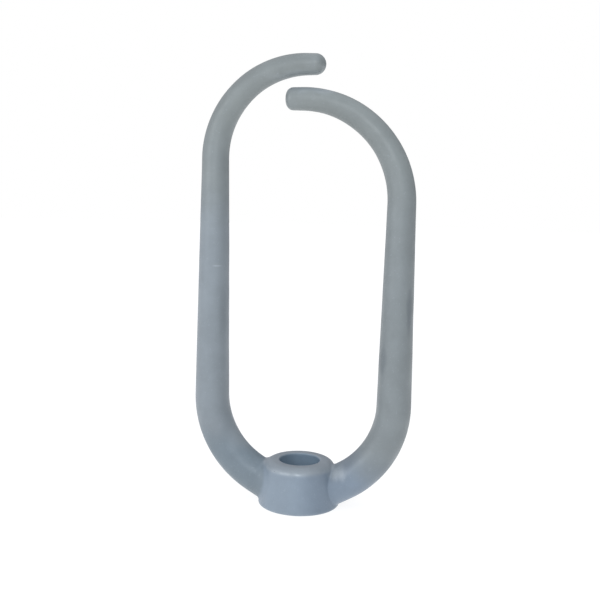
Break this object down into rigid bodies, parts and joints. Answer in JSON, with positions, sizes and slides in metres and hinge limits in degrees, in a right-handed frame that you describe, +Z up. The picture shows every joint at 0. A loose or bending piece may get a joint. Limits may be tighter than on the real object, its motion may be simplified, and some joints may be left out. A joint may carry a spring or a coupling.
{
  "type": "mixing paddle",
  "caption": "Open-loop mixing paddle: tapered round arms rising from a conical hub bored for a drive shaft, their tips passing one above the other.",
  "frame": {"origin": "centre of the hub's base, on the drive axis, which is also the bottom centre of the whole part", "axes": "+Z up along the drive axis from the hub's base to the loop, +X towards the short arm, +Y towards the grub screw at the back"},
  "size_m": [0.1421, 0.053, 0.2885],
  "materials": {
    "cast_metal": "satin, blasted casting skin with a pale blue-grey cast",
    "weld_metal": "dressed fillet, satin",
    "sleeve_steel": "turned, bare",
    "screw_steel": "blackened"
  },
  "bodies": {
    "paddle": {"hub": "cast_metal", "shaft_sleeve": "sleeve_steel", "long_arm": "cast_metal", "short_arm": "cast_metal", "long_arm_weld": "weld_metal", "short_arm_weld": "weld_metal"},
    "set_screw": {"grub_screw": "screw_steel"}
  },
  "joints": [
    {"name": "grub_screw_travel", "type": "slide", "parent": "paddle", "child": "set_screw", "axis": [0, -1, 0], "range_m": [-0.006, 0.0025]}
  ]
}
